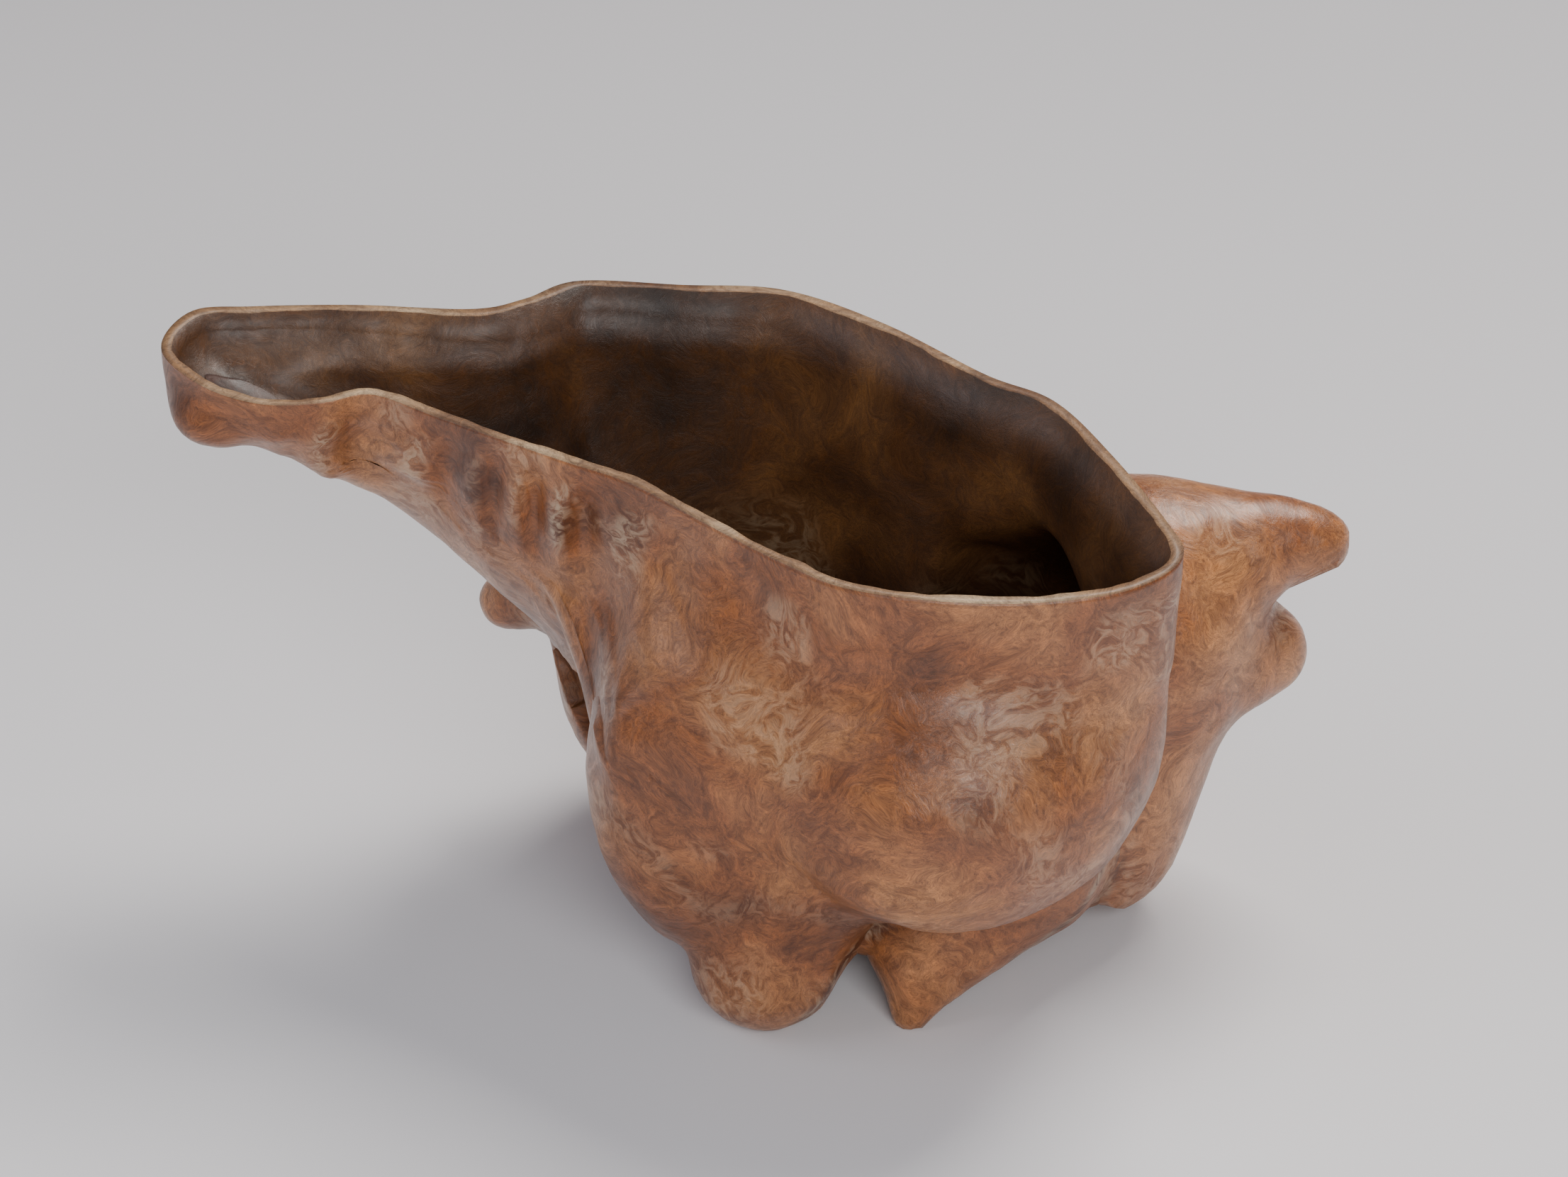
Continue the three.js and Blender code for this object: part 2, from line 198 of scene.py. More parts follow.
def plan_distance(x, y):
    """The plan distance read between the grid's places by straight-line weights."""
    xs, ys, grid = PLAN
    fx = np.clip((x - xs[0]) / (xs[1] - xs[0]), 0, len(xs) - 1.001)
    fy = np.clip((y - ys[0]) / (ys[1] - ys[0]), 0, len(ys) - 1.001)
    i, j = fx.astype(int), fy.astype(int)
    a, b = fx - i, fy - j
    return (grid[i, j] * (1 - a) * (1 - b) + grid[i + 1, j] * a * (1 - b)
            + grid[i, j + 1] * (1 - a) * b + grid[i + 1, j + 1] * a * b)


def mouth_height(x):
    """Height of the rim's plane, which rises a little towards the spout."""
    return 118 - 0.018 * x


def hull(p, inset):
    """Hull hung from the rim line: quarter-ellipse sections from the rim down to the keel."""
    x, y, z = p[..., 0], p[..., 1], p[..., 2]
    below = mouth_height(x) - z
    deep = np.interp(x, *KEEL_DEPTH.T) - inset
    half = np.interp(x, *HALF_BREADTH.T) - inset
    edge = plan_distance(x, y) + inset
    q = np.clip(below / deep, 0, 1)
    side = edge + half * (1 - np.sqrt(1 - q * q))
    return np.where(below > deep, np.maximum(side, edge + half + 0.7 * (below - deep)), side)


def folds(p, depth, pitch):
    """Cosine folds square to the rim on the spout's front flank, with sine terms that make
    their pitch and height uneven, faded out at their ends."""
    x, y, z = p[..., 0], p[..., 1], p[..., 2]
    spine = FAN_SPOUT[1] + (FAN_BASIN[1] - FAN_SPOUT[1]) * ease((x - FAN_SPOUT[0]) / 110)
    below = mouth_height(x) - z
    window = (ease((spine - 4 - y) / 8) * ease((x + 108) / 14) * ease((-8 - x) / 18)
              * ease((below - 2) / 6) * (1 - ease((below - 17) / 17)))
    phase = (x + 0.25 * below) / pitch + 0.35 * np.sin(x / 9.0) + 0.15 * np.sin(below / 7.0)
    wave = np.cos(2 * np.pi * phase)
    uneven = 0.75 + 0.25 * np.sin(x / 7.3 + 1.0)
    return depth * window * uneven * (wave - 0.35 * wave**2)


def ball(p, centre, radii, tilt):
    """Ellipsoid's distance to first order: k0 (k0 - 1) / k1."""
    a = np.radians(tilt)
    q = p - np.array(centre, float)
    q = np.stack([q[..., 0] * np.cos(a) - q[..., 2] * np.sin(a), q[..., 1],
                  q[..., 0] * np.sin(a) + q[..., 2] * np.cos(a)], -1)
    r = np.array(radii, float)
    k0 = np.sqrt(((q / r)**2).sum(-1))
    k1 = np.sqrt(((q / (r * r))**2).sum(-1)) + 1e-9
    return k0 * (k0 - 1) / k1


def cone(p, start, end, r0, r1):
    """Distance to a round cone: a ball of radius r0 swept to one of radius r1."""
    a, b = np.array(start, float), np.array(end, float)
    axis = b - a
    l2, rr = axis @ axis, r0 - r1
    a2 = l2 - rr * rr
    q = p - a
    s = q @ axis
    e = s - l2
    x2 = ((q * l2 - axis * s[..., None])**2).sum(-1)
    k = np.sign(rr) * rr * rr * x2
    d = (np.sqrt(x2 * a2 / l2) + s * rr) / l2 - r0
    far = np.sign(e) * a2 * e * e * l2 > k
    near = ~far & (np.sign(s) * a2 * s * s * l2 < k)
    d = np.where(far, np.sqrt(x2 + e * e * l2) / l2 - r1, d)
    return np.where(near, np.sqrt(x2 + s * s * l2) / l2 - r0, d)


def joined(p, shapes, f=None):
    """Fields of several shapes, each joined to those before with its own soft blend."""
    for shape in shapes:
        d = ball(p, *shape[1:4]) if shape[0] == "ball" else cone(p, *shape[1:5])
        f = d if f is None else soft_min(f, d, shape[-1])
    return f


def lattice_noise(p, size, seed):
    """Smooth value noise, -1 to 1: seeded random values on a lattice of that size in mm,
    joined by eased weights."""
    rng = np.random.default_rng(seed)
    values = rng.uniform(-1, 1, (24, 24, 24))
    q = p / size + 100
    i = np.floor(q).astype(int)
    w = ease(q - i)
    out = np.zeros(p.shape[:-1])
    for corner in range(8):
        o = np.array([corner & 1, corner >> 1 & 1, corner >> 2 & 1])
        k = (i + o) % 24
        share = np.where(o, w, 1 - w).prod(-1)
        out += share * values[k[..., 0], k[..., 1], k[..., 2]]
    return out


def relief(p, swell):
    """Hand-worked unevenness: slow swells, warped ripples of the swirling grain, small dents."""
    warp = np.stack([lattice_noise(p, 19, 31 + k) for k in range(3)], -1) * 9
    slow = lattice_noise(p + warp, 15, 3)
    ripple = lattice_noise(p * np.array([1, 1, 0.55]) + warp, 6.0, 5)
    fine = lattice_noise(p + warp, 2.6, 7)
    return swell * (0.55 * slow + 0.30 * ripple + 0.10 * fine)


def trunk(p, s):
    """Field of the hull with its shoulders, and the spout's folds raised on it."""
    return joined(p, TRUNK, hull(p, 0)) - folds(p, s.fold_depth, s.fold_pitch)


def wood(p, s):
    """The whole burl's field, and how near each place is to a crease between two growths."""
    f = trunk(p, s)
    crease = np.zeros(f.shape)
    for _, fillet, shapes in GROWTHS.values():
        g = joined(p, shapes)
        # nearness to a crease, used for the painted shade that darkens the creases and for dust
        # along them
        crease = np.maximum(crease, np.exp(-(np.abs(f - g) / 1.7)**2) * min(1, 4 / fillet))
        f = soft_min(f, g, fillet)
    return f, crease


def hollow(p, s):
    """The hull set in by the wall with its scoops, kept a wall's width inside the trunk."""
    f = joined(p, SCOOPS, hull(p, s.wall))
    limit = trunk(p, s) + s.wall
    return -soft_min(-f, -limit, 4)


def reach(field, origin, ray, far=150.0, step=1.5, halvings=9):
    """Distance along each ray to the first place where the field turns positive, closed in on
    by halving."""
    lo = np.full(origin.shape[:-1], 1.0)
    going = np.ones(lo.shape, bool)
    for r in np.arange(1, far, step):
        going &= field(origin + ray * r) < 0
        lo = np.where(going, r, lo)
        if not going.any():
            break
    hi = lo + step
    for _ in range(halvings):
        mid = (lo + hi) / 2
        inside = field(origin + ray * mid[..., None]) < 0
        lo, hi = np.where(inside, mid, lo), np.where(inside, hi, mid)
    return (lo + hi) / 2


def fan(rim, rows):
    """Rays from a line between spout and basin, turning from the rim down to the floor."""
    axis = (FAN_SPOUT - FAN_BASIN)[:2]
    share = np.clip((rim[:, :2] - FAN_BASIN[:2]) @ axis / (axis @ axis), 0, 1)
    t = 0.35 * ease(share) + 0.65 * share
    start = FAN_BASIN + t[:, None] * (FAN_SPOUT - FAN_BASIN)
    d = rim - start
    flat = np.linalg.norm(d[:, :2], axis=1)
    rise = np.arctan2(d[:, 2], flat)[:, None]
    v = np.linspace(0, 1, rows)[None]
    angle = rise + (-np.pi / 2 - rise) * v
    slide = ease((v - 0.4) / 0.6)[..., None]
    origin = start[:, None] + (FAN_BASIN - start[:, None]) * slide
    head = (d[:, :2] / flat[:, None])[:, None]
    ray = np.concatenate([head * np.cos(angle)[..., None], np.sin(angle)[..., None]], -1)
    return origin, ray


def settled(far, jump=5.0, passes=14, widen=6.0):
    """The same distances with the torn places eased: where neighbours on the fan differ by more
    than the jump, in mm, a running 1-2-1 mean over both directions takes over."""
    def mean(a):
        a = (np.roll(a, 1, 0) + 2 * a + np.roll(a, -1, 0)) / 4
        b = np.pad(a, ((0, 0), (1, 1)), mode="edge")
        return (b[:, :-2] + 2 * a + b[:, 2:]) / 4

    step = np.maximum(np.abs(far - np.roll(far, 1, 0)), np.abs(np.gradient(far, axis=1)))
    torn = np.where(step > jump, 1.0, 0.0)
    smooth = far
    for _ in range(passes):
        smooth, torn = mean(smooth), mean(torn)
    return far + (smooth - far) * ease(torn * widen)


def hung_sheet(rim, edge, rows, field, blend):
    """Sheet over the fan: row 0 is the edge itself, and the next rows ease away from it."""
    origin, ray = fan(rim, rows)
    p = origin + ray * settled(reach(field, origin, ray))[..., None]
    drop = edge[:, None, 2] - p[..., 2]
    hold = (1 - ease(drop / blend))[..., None]
    p[..., :2] += (edge[:, None, :2] - p[..., :2]) * hold
    p[..., 2] = np.minimum(p[..., 2], edge[:, None, 2] - 0.08 * np.arange(rows))
    p[:, 0] = edge
    p[:, -1] = p[:, -1].mean(0)
    return p


def trunk_chart(s):
    """Field that the fan's rays follow: the whole burl, and never past the trunk's fillet."""
    return lambda p: np.maximum(wood(p, s)[0], trunk(p, s) - TRUNK_FILLET)


def growth_chart(s, fillet, shapes):
    """Field that a growth's rays follow: the whole burl, never past the growth's own fillet
    and never through the wall into the hollow."""
    def field(p):
        f = np.maximum(wood(p, s)[0], joined(p, shapes) - fillet)
        return np.maximum(f, SKIN_SHARE * s.wall - hollow(p, s))
    return field


def growth_sheet(s, centre, fillet, shapes, around, rows):
    """Closed sheet round a growth: rays from its centre by turn and polar angle."""
    turn = np.linspace(0, 2 * np.pi, around, endpoint=False)[:, None]
    polar = np.linspace(0, np.pi, rows)[None]
    ray = np.stack([np.sin(polar) * np.cos(turn), -np.sin(polar) * np.sin(turn),
                    np.cos(polar) + 0 * turn], -1)
    start = np.broadcast_to(np.array(centre, float), ray.shape)
    return start + ray * reach(growth_chart(s, fillet, shapes), start, ray, far=70)[..., None]


def dust_and_ridge_highlight_outside(p, crease, pitch):
    """Dust and painted highlight outside: a pale painted highlight on the ridges of the folds,
    dust in soft patches and along creases.
    """
    ridge = folds(p, 1.0, pitch)
    patch = ease(lattice_noise(p, 13, 11) * 2.2 - 0.4)
    ridge_highlight_and_dust = np.maximum(0.75 * ease(ridge * 1.6 - 0.2), 0.30 * patch)
    return np.maximum(ridge_highlight_and_dust, 0.5 * crease)


def wear_inside(p):
    """Dust that settles in patches on the low floor of the hollow."""
    floor = ease((lattice_noise(p, 17, 12) - 0.1) * 3) * ease((75 - p[..., 2]) / 20)
    return 0.6 * floor


def normals_of(p):
    """Unit normals of a grid from its neighbours' differences, closed round its first axis."""
    du = np.roll(p, -1, 0) - np.roll(p, 1, 0)
    n = np.cross(du, np.gradient(p, axis=1))
    return n / np.maximum(np.linalg.norm(n, axis=-1, keepdims=True), 1e-9)


def grid_faces(around, rows, first=0, flip=False):
    """Quads between neighbouring places of a grid closed round its first axis."""
    i, j = np.meshgrid(np.arange(around), np.arange(rows - 1), indexing="ij")
    n = (i + 1) % around
    quads = np.stack([i * rows + j, n * rows + j, n * rows + j + 1, i * rows + j + 1], -1)
    quads = quads.reshape(-1, 4) + first
    return quads[:, ::-1] if flip else quads


def make_mesh(name, places, quads, material_of_face, materials, marks):
    """Mesh object at the origin from whole arrays, in metres, smooth-shaded, with marks as
    point attributes."""
    mesh = bpy.data.meshes.new(name)
    mesh.from_pydata((places * MM).tolist(), [], quads.tolist())
    for material in materials:
        mesh.materials.append(material)
    mesh.polygons.foreach_set("material_index", np.asarray(material_of_face, np.int32))
    mesh.polygons.foreach_set("use_smooth", np.ones(len(mesh.polygons), bool))
    for key, values in marks.items():
        mesh.attributes.new(key, "FLOAT", "POINT").data.foreach_set(
            "value", np.asarray(values, np.float32))
    mesh.validate()
    obj = bpy.data.objects.new(name, mesh)
    bpy.context.collection.objects.link(obj)
    return obj


def add_node(tree, kind, settings=None, **links):
    """Adds a node, sets its fields and sockets, and links the sockets given as (node, socket)."""
    node = tree.nodes.new(kind)
    for key, value in (settings or {}).items():
        if hasattr(node, key):
            setattr(node, key, value)
        else:
            node.inputs[key].default_value = value
    for key, source in links.items():
        target = int(key[3:]) if key.startswith("in_") and key[3:].isdigit() else key
        tree.links.new(source[0].outputs[source[1]], node.inputs[target])
    return node


def ramp(tree, source, stops):
    """Colour ramp over a linked value, with stops as (place, colour)."""
    node = add_node(tree, "ShaderNodeValToRGB", None, Fac=source)
    band = node.color_ramp
    while len(band.elements) < len(stops):
        band.elements.new(0.5)
    for element, (place, colour) in zip(band.elements, stops):
        element.position = place
        element.color = (*colour, 1)
    return node


def mixed(tree, factor, a, b, mode="MIX"):
    """Colour mix of two linked colours; a factor is a number or a link."""
    node = tree.nodes.new("ShaderNodeMix")
    node.data_type = "RGBA"
    node.blend_type = mode
    for socket, value in ((0, factor), (6, a), (7, b)):
        if isinstance(value, tuple) and hasattr(value[0], "outputs"):
            tree.links.new(value[0].outputs[value[1]], node.inputs[socket])
        elif socket == 0:
            node.inputs[0].default_value = value
        else:
            node.inputs[socket].default_value = (*value, 1)
    return node


def bent_places(tree):
    """Object places bent by a slow and by a quick warp, so that no pattern runs straight."""
    place = tree.nodes.new("ShaderNodeTexCoord")
    slow = add_node(tree, "ShaderNodeTexNoise", {"Scale": SLOW_WARP, "Detail": 2.0},
                    Vector=(place, "Object"))
    bend = add_node(tree, "ShaderNodeVectorMath", {"operation": "MULTIPLY_ADD"},
                    in_0=(slow, "Color"), in_2=(place, "Object"))
    bend.inputs[1].default_value = (0.030, 0.030, 0.030)
    quick = add_node(tree, "ShaderNodeTexNoise", {"Scale": QUICK_WARP, "Detail": 2.0},
                     Vector=(bend, 0))
    curl = add_node(tree, "ShaderNodeVectorMath", {"operation": "MULTIPLY_ADD"},
                    in_0=(quick, "Color"), in_2=(bend, 0))
    curl.inputs[1].default_value = (0.012, 0.012, 0.012)
    return bend, curl


def eye_rings(tree, curl):
    """Growth rings round the bird's eyes, 0 to 1."""
    eyes = add_node(tree, "ShaderNodeTexVoronoi", {"Scale": EYES, "feature": "F1"},
                    Vector=(curl, 0))
    turns = add_node(tree, "ShaderNodeMath", {"operation": "MULTIPLY"}, in_0=(eyes, "Distance"))
    turns.inputs[1].default_value = RING_TURNS
    wave = add_node(tree, "ShaderNodeMath", {"operation": "SINE"}, in_0=(turns, 0))
    return add_node(tree, "ShaderNodeMapRange", {"From Min": -1.0, "From Max": 1.0},
                    Value=(wave, 0))


def burl_material(name, dark, middle, light, rough, dust_and_highlight, gain):
    """Hand-rubbed burl: clouds of colour some 30 mm wide, swirling hair grain of 1 mm round
    bird's eyes about 20 mm apart, silky bands of 5 mm of figure painted lighter as painted
    sheen, painted shade in creases, dust in creases and a pale painted highlight on fold ridges."""
    material = bpy.data.materials.new(name)
    material.use_nodes = True
    tree = material.node_tree
    tree.nodes.clear()
    out = tree.nodes.new("ShaderNodeOutputMaterial")
    shader = tree.nodes.new("ShaderNodeBsdfPrincipled")
    shader.inputs["IOR"].default_value = 1.5
    # a thin rubbed oil finish over the wood
    shader.inputs["Coat Weight"].default_value = 0.2
    shader.inputs["Coat Roughness"].default_value = 0.3
    tree.links.new(shader.outputs[0], out.inputs[0])
    bend, curl = bent_places(tree)
    clouds = add_node(tree, "ShaderNodeTexNoise",
                      {"Scale": CLOUDS, "Detail": 3.0, "Roughness": 0.5}, Vector=(bend, 0))
    rings = eye_rings(tree, curl)
    silk = add_node(tree, "ShaderNodeTexNoise",
                    {"Scale": SILK, "Detail": 4.0, "Roughness": 0.6, "Distortion": 1.6},
                    Vector=(curl, 0))
    hair = add_node(tree, "ShaderNodeTexNoise",
                    {"Scale": HAIR, "Detail": 3.0, "Roughness": 0.65, "Distortion": 3.5},
                    Vector=(curl, 0))
    base = ramp(tree, (clouds, 0), [(0.28, dark), (0.47, middle), (0.72, light)])
    ring_tone = ramp(tree, (rings, 0), [(0.0, (0.82, 0.80, 0.78)), (1.0, (1.10, 1.09, 1.06))])
    # the silky bands: darker figure at one end, painted sheen up to 1.45 times lighter at the
    # other
    silk_figure_and_painted_sheen = ramp(tree, (silk, 0), [(0.34, (0.60, 0.54, 0.50)), (0.50, (1, 1, 1)),
                                       (0.68, (1.45, 1.40, 1.30))])
    hair_tone = ramp(tree, (hair, 0), [(0.36, (0.58, 0.53, 0.50)), (0.50, (1, 1, 1)),
                                       (0.66, (1.35, 1.34, 1.30))])
    toned = mixed(tree, gain * 0.7, (base, 0), (ring_tone, 0), "MULTIPLY")
    toned = mixed(tree, gain, (toned, 2), (silk_figure_and_painted_sheen, 0), "MULTIPLY")
    toned = mixed(tree, gain, (toned, 2), (hair_tone, 0), "MULTIPLY")
    # painted shade: creases are darkened by a multiplied dark tone, and the marked places carry
    # dust, and on the folds' ridges a pale painted highlight, in the silk's patches
    crease = add_node(tree, "ShaderNodeAttribute", {"attribute_name": "crease"})
    dust_and_ridge_highlight = add_node(tree, "ShaderNodeAttribute", {"attribute_name": "dust_and_ridge_highlight"})
    painted_crease_shade = mixed(tree, (crease, "Fac"), (toned, 2), (0.42, 0.34, 0.30), "MULTIPLY")
    patchy = ramp(tree, (silk, 0), [(0.44, (0, 0, 0)), (0.60, (1, 1, 1))])
    amount = add_node(tree, "ShaderNodeMath", {"operation": "MULTIPLY"}, in_0=(dust_and_ridge_highlight, "Fac"),
                      in_1=(patchy, 0))
    final = mixed(tree, (amount, 0), (painted_crease_shade, 2), dust_and_highlight)
    tree.links.new(final.outputs[2], shader.inputs["Base Color"])
    # rubbed high places are glossier than the grain between them
    gloss = add_node(tree, "ShaderNodeMapRange",
                     {"From Min": 0.3, "From Max": 0.7,
                      "To Min": rough + 0.10, "To Max": rough - 0.06}, Value=(silk, 0))
    tree.links.new(gloss.outputs[0], shader.inputs["Roughness"])
    # the grain stands up by a fraction of a millimetre
    height = mixed(tree, 0.35, (silk, 0), (hair, 0))
    bump = add_node(tree, "ShaderNodeBump", {"Strength": 0.35, "Distance": 0.0007},
                    Height=(height, 2))
    tree.links.new(bump.outputs[0], shader.inputs["Normal"])
    return material


def paper_material(paper):
    """Matt paper painted darker towards the back of the sweep, over 0.9 m: painted shade for the
    light's falloff.
    """
    material = bpy.data.materials.new("matt backdrop paper")
    material.use_nodes = True
    tree = material.node_tree
    shader = tree.nodes["Principled BSDF"]
    shader.inputs["Roughness"].default_value = 0.9
    place = add_node(tree, "ShaderNodeTexCoord")
    parts = add_node(tree, "ShaderNodeSeparateXYZ", None, Vector=(place, "Object"))
    back = add_node(tree, "ShaderNodeMapRange", {"From Min": -0.15, "From Max": 0.75},
                    Value=(parts, "Y"))
    # painted shade: from the paper's own colour in front to grey at the back
    tone = ramp(tree, (back, 0), [(0.0, tuple(paper)), (1.0, rgb("#8E8D92"))])
    tree.links.new(tone.outputs[0], shader.inputs["Base Color"])
    return material


class WasherSizes(bpy.types.PropertyGroup):
    wall: bpy.props.FloatProperty(
        name="Wall", description="Least wall below the rim, in mm", default=5.5, min=2, max=10)
    rim_band: bpy.props.FloatProperty(
        name="Rim band", description="Width of the flat-cut rim, in mm", default=2.4, min=1, max=6)
    fold_depth: bpy.props.FloatProperty(
        name="Fold depth", description="Swell of the spout's folds, in mm",
        default=2.3, min=0, max=3)
    fold_pitch: bpy.props.FloatProperty(
        name="Fold pitch", description="Spacing of the spout's folds, in mm",
        default=12.5, min=6, max=30)
    swell: bpy.props.FloatProperty(
        name="Swell", description="Height of the hand-worked unevenness, in mm",
        default=1.0, min=0, max=3)


class WasherColours(bpy.types.PropertyGroup):
    outside: bpy.props.FloatVectorProperty(
        name="Outside", description="Middle tone of the polished outside", subtype="COLOR",
        default=rgb("#86502C"), min=0, max=1)
    inside: bpy.props.FloatVectorProperty(
        name="Inside", description="Middle tone of the darker-toned inside", subtype="COLOR",
        default=rgb("#4E3018"), min=0, max=1)
    rim: bpy.props.FloatVectorProperty(
        name="Rim", description="Worn flat of the rim", subtype="COLOR",
        default=rgb("#8A6A4C"), min=0, max=1)
    paper: bpy.props.FloatVectorProperty(
        name="Paper", description="Backdrop paper", subtype="COLOR",
        default=rgb("#E9E8EB"), min=0, max=1)


def frame_box():
    """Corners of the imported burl's box, in mm."""
    return [np.array(corner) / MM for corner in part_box("burl_body")]


def frame_shift():
    """From the form's own millimetres to the frame's: the rim's tip lies on the box's low X,
    and the farthest place at the back on its high Y."""
    low, high = frame_box()
    tip = closed_curve(RIM_LINE, 2000)[:, 0].min()
    return np.array([low[0] - tip, high[1] - BACK_REACH, 0])


def merge(obj):
    """Joins coincident places, so that poles are closed, and points the faces outwards."""
    bm = bmesh.new()
    bm.from_mesh(obj.data)
    bmesh.ops.remove_doubles(bm, verts=bm.verts, dist=1e-6)
    bmesh.ops.recalc_face_normals(bm, faces=bm.faces)
    bm.to_mesh(obj.data)
    bm.free()


def rim_and_lip(around, band):
    """The rim line and, a band's width inward, the lip, whose width wavers as knife work does."""
    rim = closed_curve(RIM_LINE, around)
    tangent = np.roll(rim, -1, 0) - np.roll(rim, 1, 0)
    tangent /= np.linalg.norm(tangent[:, :2], axis=1)[:, None]
    inward = np.stack([tangent[:, 1], -tangent[:, 0], 0 * tangent[:, 0]], 1)
    wobble = 1 + 0.22 * lattice_noise(rim, 7, 41) + 0.12 * lattice_noise(rim, 2.5, 42)
    return rim, rim + inward * (band * wobble)[:, None]


def worked_sheet(p, slot, hung, s):
    """A sheet with the hand-worked unevenness on it, none of it at a rim that it hangs from,
    and its marks for the painted crease shade, for dust and for the painted highlight on
    the folds' ridges."""
    n = -normals_of(p) if slot == INSIDE else normals_of(p)
    fade = ease((mouth_height(p[..., 0]) - p[..., 2] - 1.5) / 6) if hung else 1.0
    height = relief(p, s.swell * (0.5 if slot == INSIDE else 1.0)) * fade
    if slot == INSIDE:
        crease, dust_and_ridge_highlight = 0 * p[..., 0], wear_inside(p)
    else:
        crease = wood(p, s)[1]
        dust_and_ridge_highlight = dust_and_ridge_highlight_outside(p, crease, s.fold_pitch)
    return p - n * height[..., None], crease, dust_and_ridge_highlight


class OBJECT_OT_washer_burl(bpy.types.Operator):
    """Builds the carved burl: hull, hollow and growths in one mesh"""

    bl_idname = "object.washer_burl"
    bl_label = "Carved burl"

    def execute(self, context):
        s, c = context.scene.washer_sizes, context.scene.washer_colours
        grid = FULL_GRID
        around, rows, inner = grid["around"], grid["outer"], grid["inner"]
        rim, lip = rim_and_lip(around, s.rim_band)
        sheets = [
            (hung_sheet(rim, rim, rows, trunk_chart(s), RIM_BLEND), BURL, True),
            (hung_sheet(rim, lip, inner, lambda p: hollow(p, s), LIP_BLEND), INSIDE, True),
        ]
        for growth in GROWTHS.values():
            sheets.append((growth_sheet(s, *growth, *grid["growth"]), BURL, False))
        places, quads, index, creases, dust_and_highlight_parts, first = [], [], [], [], [], 0
        for sheet, slot, hung in sheets:
            p, crease, dust_and_ridge_highlight = worked_sheet(sheet, slot, hung, s)
            faces = grid_faces(*p.shape[:2], first, slot == INSIDE)
            places.append(p.reshape(-1, 3))
            quads.append(faces)
            index.append(np.full(len(faces), slot))
            creases.append(crease.ravel())
            dust_and_highlight_parts.append(dust_and_ridge_highlight.ravel())
            first += p.shape[0] * p.shape[1]
        # the flat of the rim: one quad from each place of the rim to its place on the lip
        i = np.arange(around)
        n = (i + 1) % around
        base = around * rows
        quads.append(np.stack([i * rows, base + i * inner, base + n * inner, n * rows], 1))
        index.append(np.full(around, RIM))
        places = np.clip(np.concatenate(places) + frame_shift(), *frame_box())
        materials = [
            # the pale colour before the gain is for dust, and outside it is also the painted
            # highlight on the folds' ridges
            burl_material("hand-rubbed burl wood", rgb("#5A321B"), c.outside, rgb("#AB7549"),
                          0.35, rgb("#B9A58A"), 0.85),
            # the inside takes darker tones than the outside
            burl_material("darker-toned burl inside", rgb("#2A190D"), c.inside, rgb("#7A5430"),
                          0.46, rgb("#8C7A62"), 0.6),
            burl_material("knife-cut worn rim", rgb("#5A3A24"), c.rim, rgb("#B79F80"),
                          0.55, rgb("#C9B495"), 0.8),
        ]
        obj = make_mesh("carved_burl", places, np.concatenate(quads), np.concatenate(index),
                        materials,
                        {"crease": np.concatenate(creases), "dust_and_ridge_highlight": np.concatenate(dust_and_highlight_parts)})
        merge(obj)
        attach(obj, "root")
        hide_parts("burl_body")
        return {"FINISHED"}


class OBJECT_OT_washer_knot(bpy.types.Operator):
    """Builds the encased knot in the trough's floor"""

    bl_idname = "object.washer_knot"
    bl_label = "Encased knot"

    def execute(self, context):
        s = context.scene.washer_sizes
        around = 48
        turn = np.linspace(0, 2 * np.pi, around, endpoint=False)[:, None]
        out = np.linspace(0, 1, 10)[None]
        # ellipse dropped on to the trough's floor, with a slight crown
        x = KNOT_PLACE[0] + KNOT_HALF[0] * KNOT_SHARE * out * np.cos(turn)
        y = KNOT_PLACE[1] + KNOT_HALF[1] * KNOT_SHARE * out * np.sin(turn)
        top = np.stack([x, y, np.full(x.shape, 119.0)], -1)
        down = np.broadcast_to(np.array([0.0, 0.0, -1.0]), top.shape)
        top[..., 2] -= reach(lambda p: hollow(p, s), top, down, far=30, step=0.5)
        under = top - np.array([0, 0, KNOT_THICK])
        top[..., 2] += KNOT_CROWN * (1 - out**2)
        sheet = np.concatenate([top, under[:, ::-1]], 1)
        quads = grid_faces(around, sheet.shape[1])
        dead_wood = burl_material("encased dead knot", rgb("#2C150C"), rgb("#4A2515"),
                                  rgb("#6B3A20"), 0.5, rgb("#8C7A62"), 0.8)
        places = sheet.reshape(-1, 3) + frame_shift()
        bare = 0 * places[:, 0]
        obj = make_mesh("knot_wood", places, quads, np.zeros(len(quads)), [dead_wood],
                        {"crease": bare, "dust_and_ridge_highlight": bare})
        merge(obj)
        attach(obj, "root")
        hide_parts("spout_knot")
        return {"FINISHED"}


def paper_sweep(paper):
    """Sweep 6 m wide: flat in front, turning up far behind in a quarter circle."""
    turn = np.linspace(0.1, 1.57, 10)
    u = np.linspace(-3, 3, 13)[:, None]
    y = np.array([-2.5, -1, 0, 1, 2, *(2.6 + 0.9 * np.sin(turn)), 3.5])
    z = np.array([0, 0, 0, 0, 0, *(0.9 - 0.9 * np.cos(turn)), 4.0])
    p = np.stack([u + 0 * y, y + 0 * u, z + 0 * u], -1)
    rows = p.shape[1]
    i, j = np.meshgrid(np.arange(len(u) - 1), np.arange(rows - 1), indexing="ij")
    quads = np.stack([i * rows + j, (i + 1) * rows + j, (i + 1) * rows + j + 1,
                      i * rows + j + 1], -1).reshape(-1, 4)
    return make_mesh("paper_sweep", p.reshape(-1, 3) / MM, quads, np.zeros(len(quads)),
                     [paper_material(paper)], {})


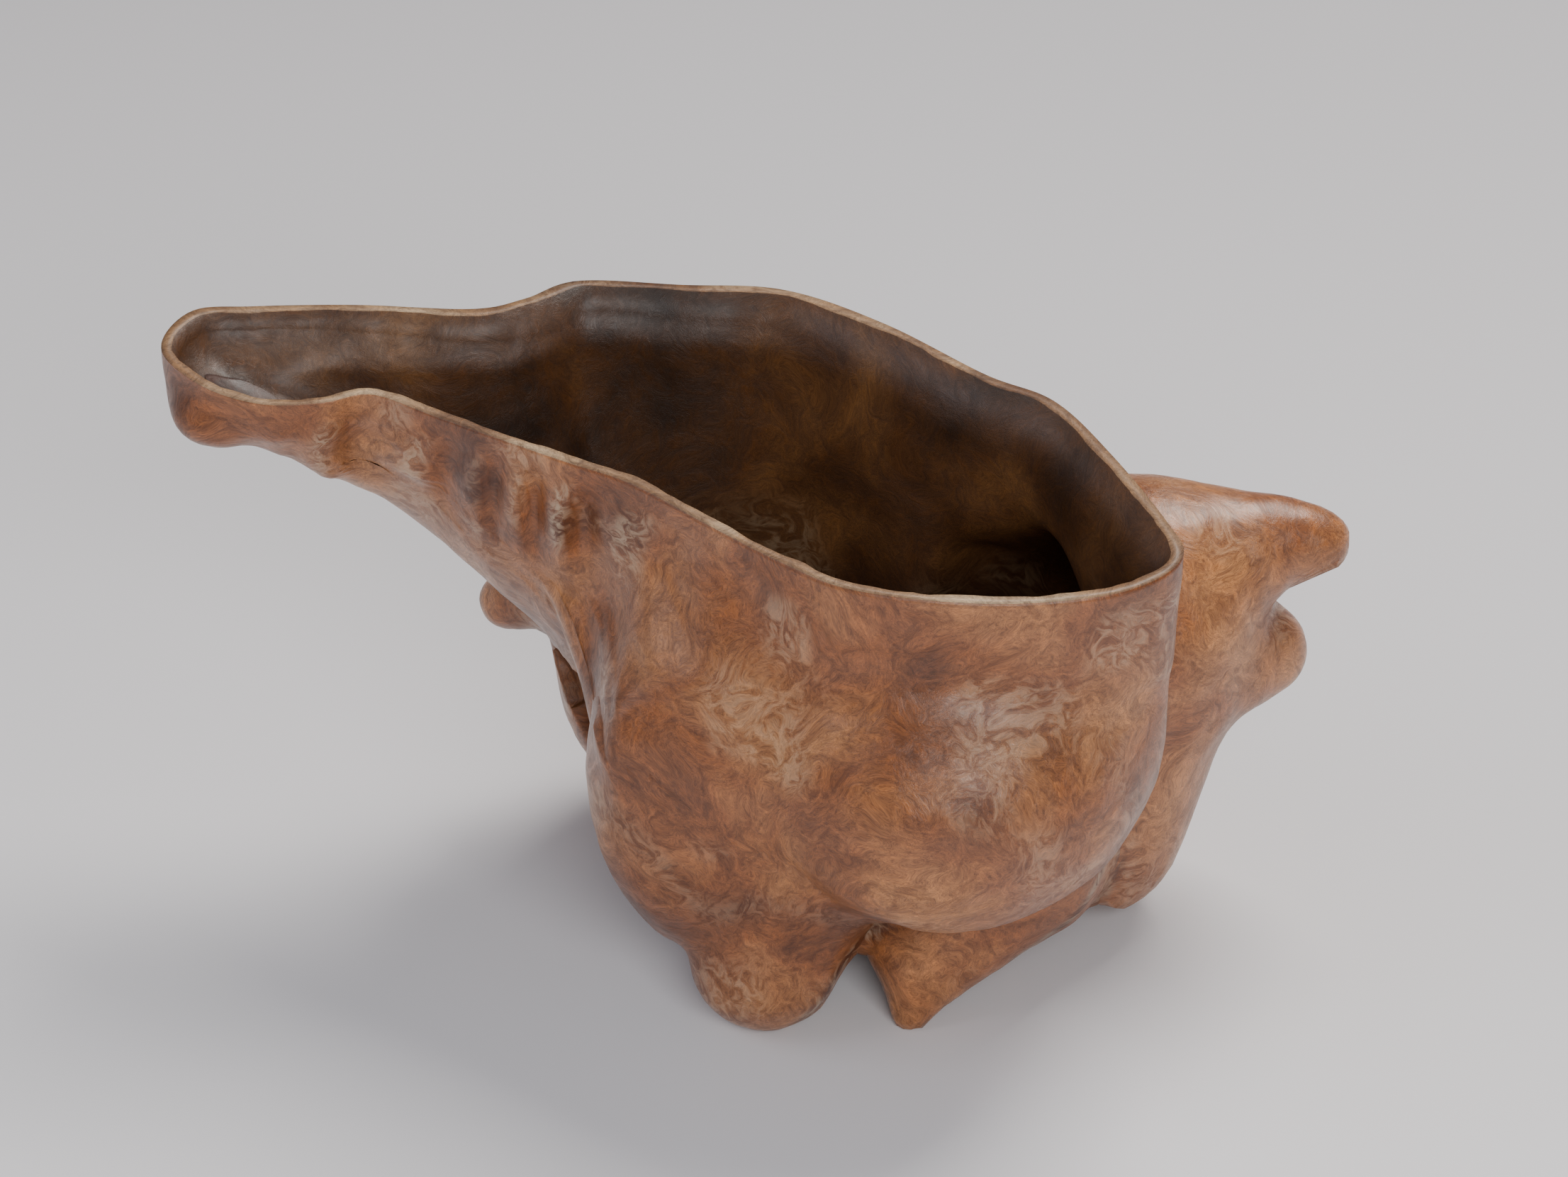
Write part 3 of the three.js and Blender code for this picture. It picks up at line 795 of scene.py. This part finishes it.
def softbox(name, place, size, power, colour):
    """Rectangular lamp in a diffuser, aimed at the middle of the washer."""
    data = bpy.data.lights.new(name, "AREA")
    data.shape = "RECTANGLE"
    data.size, data.size_y = size
    data.energy = power
    data.color = colour
    obj = bpy.data.objects.new(name, data)
    obj.location = place
    aim = np.array([0, 0, 0.06]) - np.array(place)
    obj.rotation_euler = (
        np.arctan2(np.hypot(aim[0], aim[1]), -aim[2]), 0, np.arctan2(-aim[0], aim[1]))
    bpy.context.collection.objects.link(obj)
    return obj


def photo_camera():
    """Camera at the photograph's tilt and focal length."""
    tilt = np.radians(CAMERA_TILT)
    aim = np.array(CAMERA_AIM) + frame_shift()
    eye = aim - CAMERA_DISTANCE * np.array([0, np.cos(tilt), -np.sin(tilt)])
    data = bpy.data.cameras.new("photo_camera")
    data.sensor_width = SENSOR_WIDTH
    data.lens = SENSOR_WIDTH * PHOTO_FOCAL / PHOTO_WIDTH
    camera = bpy.data.objects.new("photo_camera", data)
    camera.location = eye * MM
    camera.rotation_euler = (np.pi / 2 - tilt, 0, 0)
    bpy.context.collection.objects.link(camera)
    return camera


# name, place in m, width and height in m, power in W, colour
LIGHTS = [
    ("key_softbox", (0.55, 0.75, 1.35), (0.8, 0.8), 30, rgb("#FFF9F2")),
    ("left_fill", (-1.3, -0.2, 1.0), (1.0, 1.0), 6, rgb("#F2F5FF")),
    ("front_fill", (0.35, -1.2, 0.95), (0.9, 0.6), 13, rgb("#FFFFFF")),
]


class OBJECT_OT_washer_stage(bpy.types.Operator):
    """Lays the paper sweep, hangs the lights and sets the camera"""

    bl_idname = "object.washer_stage"
    bl_label = "Stage"

    def execute(self, context):
        floor = paper_sweep(context.scene.washer_colours.paper)
        for light in LIGHTS:
            obj = softbox(*light)
        world = bpy.data.worlds.new("studio")
        world.use_nodes = True
        air = world.node_tree.nodes["Background"]
        air.inputs[0].default_value = (*rgb("#C9CBD2"), 1)
        air.inputs[1].default_value = 0.35
        context.scene.world = world
        context.scene.camera = photo_camera()
        return {"FINISHED"}


class VIEW3D_PT_washer(bpy.types.Panel):
    """Lists the washer's pieces, sizes and colours"""

    bl_label = "Burl brush washer"
    bl_idname = "VIEW3D_PT_washer"
    bl_space_type = "VIEW_3D"
    bl_region_type = "UI"
    bl_category = "Washer"

    def draw(self, context):
        for operator in OPERATORS:
            self.layout.operator(operator.bl_idname)
        for group in (context.scene.washer_sizes, context.scene.washer_colours):
            for key in type(group).__annotations__:
                self.layout.prop(group, key)


OPERATORS = (OBJECT_OT_washer_burl, OBJECT_OT_washer_knot, OBJECT_OT_washer_stage)
CLASSES = (WasherSizes, WasherColours, *OPERATORS, VIEW3D_PT_washer)


def register():
    for cls in CLASSES:
        bpy.utils.register_class(cls)
    bpy.types.Scene.washer_sizes = bpy.props.PointerProperty(type=WasherSizes)
    bpy.types.Scene.washer_colours = bpy.props.PointerProperty(type=WasherColours)


def unregister():
    del bpy.types.Scene.washer_colours
    del bpy.types.Scene.washer_sizes
    for cls in reversed(CLASSES):
        bpy.utils.unregister_class(cls)


def main():
    register()
    bpy.ops.object.washer_burl()
    bpy.ops.object.washer_knot()
    bpy.ops.object.washer_stage()


if __name__ == "__main__":
    main()
